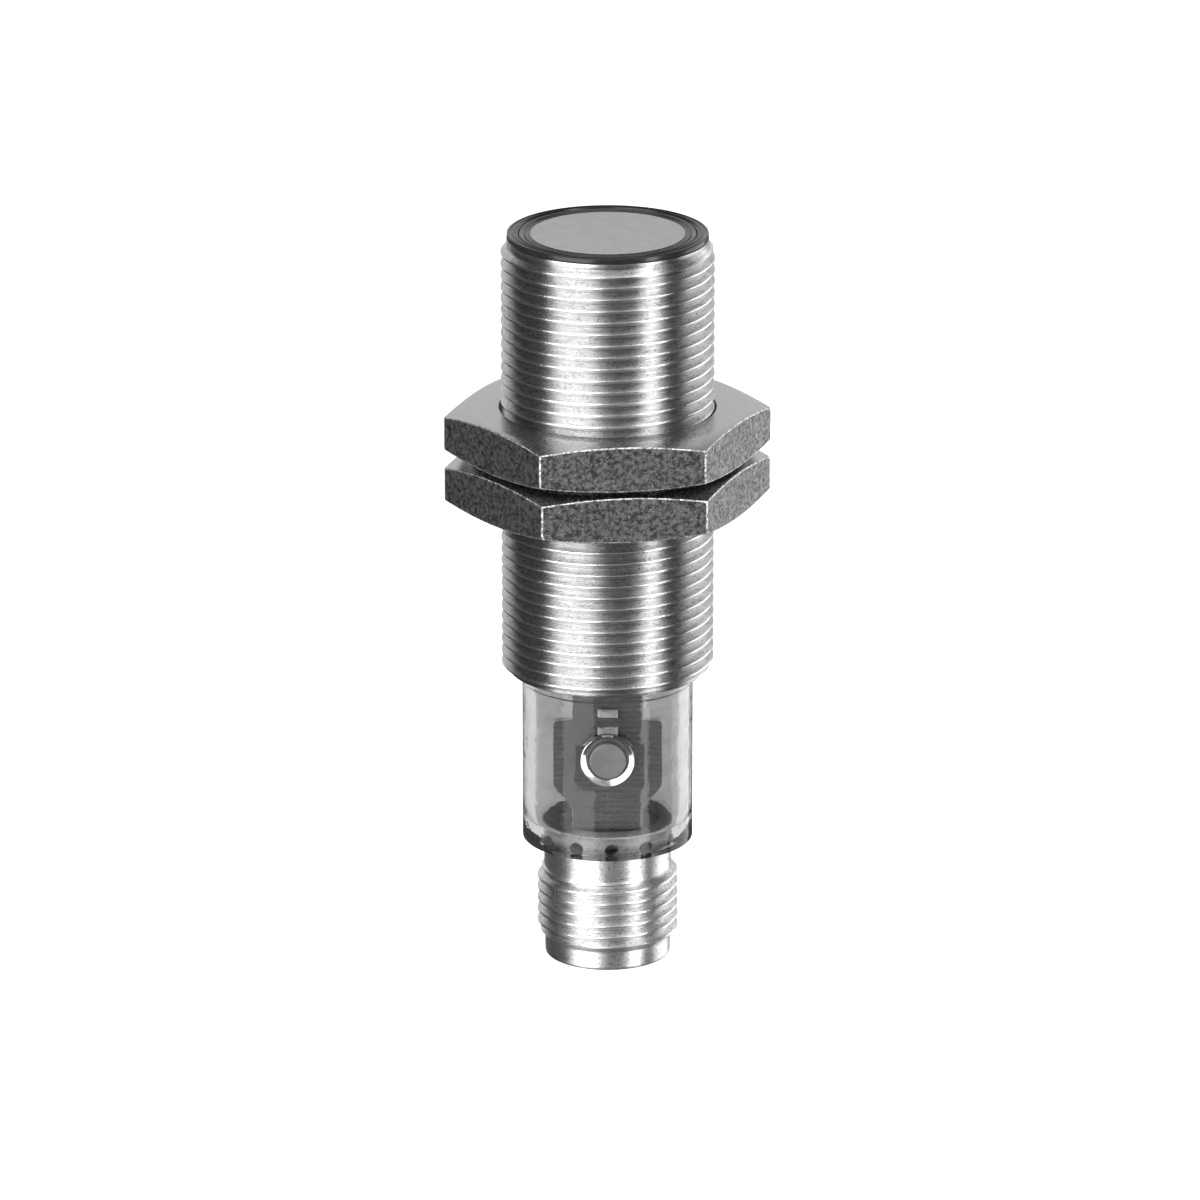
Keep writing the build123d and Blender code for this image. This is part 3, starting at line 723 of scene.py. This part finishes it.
# ------------------------------------------------------------------ housing, button and switch
def make_housing():
    low, high = box_mm("end_housing")
    z0, z1 = low[2], high[2]
    outer = [(HOUSING_NECK_R, z0, 0.04), (HOUSING_R, z0, 0.1)]
    outer += [(HOUSING_R, z) for z in np.arange(z0 + 0.8, 24.3, HOUSING_RING_STEP)]
    outer += [
        (HOUSING_R, HOUSING_LIP_Z, 0.06), (HOUSING_LIP_R, HOUSING_LIP_Z + 0.2, 0.05),
        (HOUSING_LIP_R, z1, 0.1), (HOUSING_CAVITY_R, z1, 0.1)
    ]
    inner = [(HOUSING_CAVITY_R, z) for z in np.arange(24.3, 13.2, -HOUSING_RING_STEP)]
    inner += [(HOUSING_CAVITY_R, HOUSING_FLOOR_Z, 0.12), (HOUSING_NECK_R, HOUSING_FLOOR_Z, 0.06)]
    straight = [(r, z, 0) if len(rest) == 0 else (r, z, *rest) for r, z, *rest in outer + inner]
    points, faces = lathe(rounded(straight, 0.05, 3), 240)
    housing = make_piece(
        "clear_housing", points, faces, [SMOKED], "sensor", "clear_plastic", ["end_housing"], 30
    )
    z = button_centre()[2]
    flat = bevelled_box(
        (-HOUSING_R, -9.0, BUTTON_FLAT_LOW_Z), (HOUSING_R, BUTTON_FLAT_Y, BUTTON_FLAT_HIGH_Z), 0.04
    )
    seat = lathe(
        [(0, -9.1), (FUNNEL_OUT_R + 0.02, -9.1), (FUNNEL_OUT_R + 0.02, FUNNEL_BACK_Y), (0, FUNNEL_BACK_Y)],
        96
    )
    bore = lathe([(0, -9.2), (BUTTON_BORE_R, -9.2), (BUTTON_BORE_R, -5.0), (0, -5.0)], 96)
    cut_with(housing, *flat, 30)
    cut_with(housing, along_y(seat[0], 0, z), seat[1], 30)
    cut_with(housing, along_y(bore[0], 0, z), bore[1], 30)
    housing.visible_shadow = False
    return housing


def make_button_ring():
    """Polished ring round the button. Its funnel faces the button's axis and outwards."""
    z = button_centre()[2]
    outline = [
        (FUNNEL_IN_R, FUNNEL_THROAT_Y, 0.03), (FUNNEL_OUT_R - 0.07, FUNNEL_RIM_Y, 0.03),
        (FUNNEL_OUT_R, FUNNEL_RIM_Y + 0.02, 0.03)
    ]
    outline += [(FUNNEL_OUT_R, FUNNEL_BACK_Y, 0.02), (FUNNEL_IN_R, FUNNEL_BACK_Y, 0.02)]
    points, faces = lathe(rounded(outline, 0.03, 4), 128)
    make_piece("button_ring", along_y(points, 0, z), faces, [RING_METAL], "sensor", "switch_metal", (), 40)


def button_centre():
    low, high = box_mm("teach_button")
    return (low + high) / 2


def make_button():
    low, high = box_mm("teach_button")
    z = button_centre()[2]
    face_y, back_y, flange_r = low[1], high[1], high[0]
    outline = [
        (0, face_y + 0.03, 0), (0.9, face_y + 0.01, 0.3), (BUTTON_R, face_y, 0.16),
        (BUTTON_R, -5.72, 0.03)
    ]
    outline += [(flange_r, -5.7, 0.06), (flange_r, back_y, 0.06), (0, back_y, 0)]
    points, faces = lathe(rounded(outline, 0.1, 5), 96)
    make_piece(
        "button_cap", along_y(points, 0, z), faces, [BUTTON], "button", "button_plastic",
        ["teach_button"], 40
    )


def make_switch():
    low, high = box_mm("tactile_switch")
    z = button_centre()[2]
    front, back = low[1], high[1]
    half_x, half_z = (high[0] - low[0]) / 2, (high[2] - low[2]) / 2
    n = SWITCH_CORNER
    corners = [(-half_x + n, -half_z), (half_x - n, -half_z), (half_x, -half_z + n), (half_x, half_z - n)]
    corners += [(half_x - n, half_z), (-half_x + n, half_z), (-half_x, half_z - n), (-half_x, -half_z + n)]
    ring = rounded([(x, y, 0.25) for x, y in corners], 0.25, 4)
    levels = [
        (1.0, back), (1.0, back - 0.3), (0.99, back - 0.34), (0.99, front + 0.12), (0.975, front + 0.03),
        (0.94, front)
    ]
    hole_r, floor = 0.98, back - 0.22
    count = len(ring)
    rows = [[(x * s, y, z + w * s) for x, w in ring] for s, y in levels]
    turn = [atan2(w, x) for x, w in ring]
    rows.append([(hole_r * 1.06 * cos(t), front, z + hole_r * 1.06 * sin(t)) for t in turn])
    rows.append([(hole_r * cos(t), front + 0.05, z + hole_r * sin(t)) for t in turn])
    rows.append([(hole_r * cos(t), floor, z + hole_r * sin(t)) for t in turn])
    rows.append([(0, floor, z)] * count)
    rows.append([(0, back, z)] * count)
    points = [p for row in rows for p in row]
    faces, marks = [], []
    for j in range(len(rows)):
        k = (j + 1) % len(rows)
        for i in range(count):
            m = (i + 1) % count
            faces.append((j * count + i, j * count + m, k * count + m, k * count + i))
            marks.append(1 if j in (0, 8, 9, 10) else 0)
    make_piece(
        "switch_cover", points, faces, [SWITCH_COVER, SWITCH_BASE], "sensor", "switch_metal",
        ["tactile_switch"], 30, face_materials=marks
    )


# ------------------------------------------------------------------ board and its parts
def make_board():
    low, high = box_mm("main_board")
    front, back, z0, z1 = low[1], high[1], low[2], high[2]
    ends = {0: z0, len(BOARD_SIDE) - 1: z1}
    side = [(x, ends.get(i, z), r) for i, (x, z, r) in enumerate(BOARD_SIDE)]
    outline = rounded(side + [(-x, z, r) for x, z, r in reversed(side)], 0.1, 6)
    bm = bmesh.new()
    bottom = bm.faces.new([bm.verts.new((x, front, z)) for x, z in outline])
    moved = bmesh.ops.extrude_face_region(bm, geom=[bottom])
    for v in moved["geom"]:
        if isinstance(v, bmesh.types.BMVert):
            v.co.y = back
    bm.verts.index_update()
    bm.faces.ensure_lookup_table()
    bm.normal_update()
    points = [tuple(v.co) for v in bm.verts]
    faces = [tuple(v.index for v in f.verts) for f in bm.faces]
    marks = [0 if abs(f.normal.y) > 0.5 else 1 for f in bm.faces]
    bm.free()
    board = make_piece(
        "circuit_board", points, faces, [MASK, LAMINATE], "sensor", "circuit_board", ["main_board"], 30,
        face_materials=marks
    )
    bevel = board.modifiers.new("edge", "BEVEL")
    bevel.width = 0.12 * MM
    bevel.segments = 2
    bevel.limit_method = "ANGLE"
    return board


def make_led(node, name):
    low, high = box_mm(node)
    depth = high[1] - low[1]
    middle = low[1] + depth * 0.45
    base = bevelled_box((low[0], middle, low[2]), (high[0], high[1], high[2]), 0.04)
    dome = bevelled_box(
        (low[0] + 0.22, low[1], low[2] + 0.03), (high[0] - 0.22, middle + 0.02, high[2] - 0.03), 0.16, 4
    )
    make_piece(name + "_base", *base, [LED_BASE], "sensor", "led_lens", [node], 30)
    make_piece(name + "_lens", *dome, [LENS], "sensor", "led_lens", (), 30)


# ------------------------------------------------------------------ sensing end
def make_sensing_end():
    low, high = box_mm("front_bezel")
    top, bottom, out_r = high[2], low[2], high[0]
    ridge = top - 0.06
    outline = [
        (7.52, bottom, 0), (8.42, bottom, 0.03), (out_r, bottom + 0.12, 0.04), (out_r, top - 0.06, 0.05),
        (out_r - 0.12, top, 0.06)
    ]
    outline += [
        (8.1, ridge - 0.05, 0.1), (BEZEL_RIDGE_R + 0.07, ridge - 0.02, 0.04), (BEZEL_RIDGE_R, top, 0.03),
        (BEZEL_RIDGE_R - 0.07, top - 0.04, 0.03), (BEZEL_RIDGE_R - 0.13, ridge - 0.08, 0.05),
        (7.52, ridge - 0.05, 0)
    ]
    make_piece(
        "bezel_ring", *lathe(rounded(outline, 0.05, 4), 160), [BLACK], "sensor", "black_plastic",
        ["front_bezel"], 50
    )
    low, high = box_mm("transducer_cup")
    z0, z1, r = low[2], high[2], high[0]
    outline = [
        (0, z0, 0), (r, z0, 0.2), (r, z1 - 0.08, 0.03), (r - 0.09, z1, 0.04), (r - 0.2, z1 - 0.02, 0.05),
        (7.0, z1 - 0.16, 0.05), (7.0, z0 + 1.0, 0.2), (0, z0 + 1.0, 0)
    ]
    make_piece(
        "transducer_pot", *lathe(rounded(outline, 0.05, 4), 160), [CUP], "sensor", "black_plastic",
        ["transducer_cup"], 50
    )
    low, high = box_mm("decoupling_ring")
    z0, z1 = low[2], high[2]
    face_low, face_high = box_mm("matching_layer")
    face_r, face_z0, face_z1 = face_high[0], face_low[2], face_high[2]
    outline = [
        (5.52, z0, 0.02), (6.98, z0, 0.02), (6.98, z1 - 0.1, 0.03), (6.86, z1 - 0.04, 0.1),
        (6.7, z1 - 0.12, 0.1), (face_r + 0.02, z1 - 0.03, 0.02), (face_r + 0.02, face_z0, 0.02),
        (5.52, face_z0, 0.02)
    ]
    make_piece(
        "soft_ring", *lathe(rounded(outline, 0.05, 4), 160), [SOFT], "sensor", "seal_rubber",
        ["decoupling_ring"], 50
    )
    outline = [
        (0, face_z0, 0), (face_r, face_z0, 0.03), (face_r, face_z1, 0.05), (face_r - 0.5, face_z1, 0),
        (3.0, face_z1, 0), (0, face_z1, 0)
    ]
    make_piece(
        "sensing_face", *lathe(rounded(outline, 0.05, 4), 160), [FACE], "sensor", "face_resin",
        ["matching_layer"], 50
    )


make_barrel()
make_nut("hex_nut_upper", "upper_nut", "upper_nut_thread", UPPER_NUT_TURN)
make_nut("hex_nut_lower", "lower_nut", "lower_nut_thread", LOWER_NUT_TURN)
make_shell()
make_pins()
make_housing()
make_button_ring()
make_button()
make_switch()
make_board()
make_led("led_green", "led_upper")
make_led("led_yellow", "led_lower")
make_sensing_end()

CARRIED_OVER = {
    "piezo_disc": PIEZO, "damping_block": BACKING,
    "piezo_lead_live": INSULATION["red"], "piezo_lead_ground": INSULATION["black"],
    "microcontroller": CHIP, "amplifier_chip": CHIP, "voltage_regulator": CHIP,
    "storage_capacitor": CAPACITOR,
    "transformer_core": FERRITE, "transformer_coil": COPPER, "board_passives": CHIP_CERAMIC,
    "switch_plunger": SWITCH_BASE,
    "housing_seal": RUBBER, "contact_carrier": CARRIER, "carrier_seal": RUBBER,
    "wire_brown": INSULATION["brown"], "wire_white": INSULATION["white"],
    "wire_black": INSULATION["black"], "wire_blue": INSULATION["blue"],
}
for node, finish in CARRIED_OVER.items():
    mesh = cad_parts[node].data
    mesh.materials.clear()
    mesh.materials.append(finish)

# ------------------------------------------------------------------ floor, light and camera
FLOOR = Finish("studio_floor", Roughness=0.9)
FLOOR.put("Base Color", FLOOR.mix(FLOOR.noise(0.004), grey(0.90), grey(0.93)))
FLOOR.put("Emission Color", grey(1.0))
FLOOR.put("Emission Strength", 0.55)
bpy.ops.mesh.primitive_plane_add(size=8.0, location=(0, 0, CAD_LOW.z))
floor = bpy.context.object
floor.name = "floor"
floor.data.materials.append(FLOOR.material)
floor.visible_glossy = False
floor.visible_shadow = False

TARGET = Vector((-0.000645, 0.0, 0.03158))
CAMERA_ELEVATION = 18.157       # degrees
CAMERA_DISTANCE = 0.7163
CAMERA_LENS = 253.35


def direction(azimuth, elevation):
    """Unit vector from the object: azimuth 0 is -Y, positive towards +X."""
    a, e = radians(azimuth), radians(elevation)
    return Vector((sin(a) * cos(e), -cos(a) * cos(e), sin(e)))


def softbox(name, azimuth, elevation, distance, width, height, power):
    light = bpy.data.lights.new(name, "AREA")
    light.shape = "RECTANGLE"
    light.size, light.size_y, light.energy = width, height, power
    lamp = bpy.data.objects.new(name, light)
    bpy.context.scene.collection.objects.link(lamp)
    towards = direction(azimuth, elevation)
    lamp.location = TARGET + towards * distance
    lamp.rotation_euler = towards.to_track_quat("Z", "Y").to_euler()
    lamp.visible_camera = False
    lamp.visible_transmission = False
    return lamp


softbox("left_softbox", -40, 15, 0.55, 0.52, 1.10, 7.6)
softbox("right_strip", 51.5, 15, 0.55, 0.14, 1.10, 3.4)
softbox("front_fill", 15, 22, 0.75, 0.80, 0.50, 0.5)
softbox("top_softbox", 0, 88, 0.60, 0.60, 0.60, 0.9)
softbox("rear_softbox", 180, 15, 0.70, 1.20, 0.70, 1.9)
softbox("rear_right_softbox", 120, -6, 0.60, 0.50, 0.60, 1.9)

world = bpy.data.worlds.new("studio")
world.use_nodes = True
bpy.context.scene.world = world
world.node_tree.nodes["Background"].inputs["Color"].default_value = (0.9, 0.9, 0.9, 1)
world.node_tree.nodes["Background"].inputs["Strength"].default_value = 0.095

camera_data = bpy.data.cameras.new("camera")
camera_data.lens, camera_data.sensor_width = CAMERA_LENS, 36.0
camera_data.clip_start, camera_data.clip_end = 0.01, 50
camera = bpy.data.objects.new("camera", camera_data)
bpy.context.scene.collection.objects.link(camera)
camera.location = TARGET + direction(0, CAMERA_ELEVATION) * CAMERA_DISTANCE
camera.rotation_euler = (radians(90 - CAMERA_ELEVATION), 0, 0)
bpy.context.scene.camera = camera
bpy.context.scene.view_settings.view_transform = "Standard"
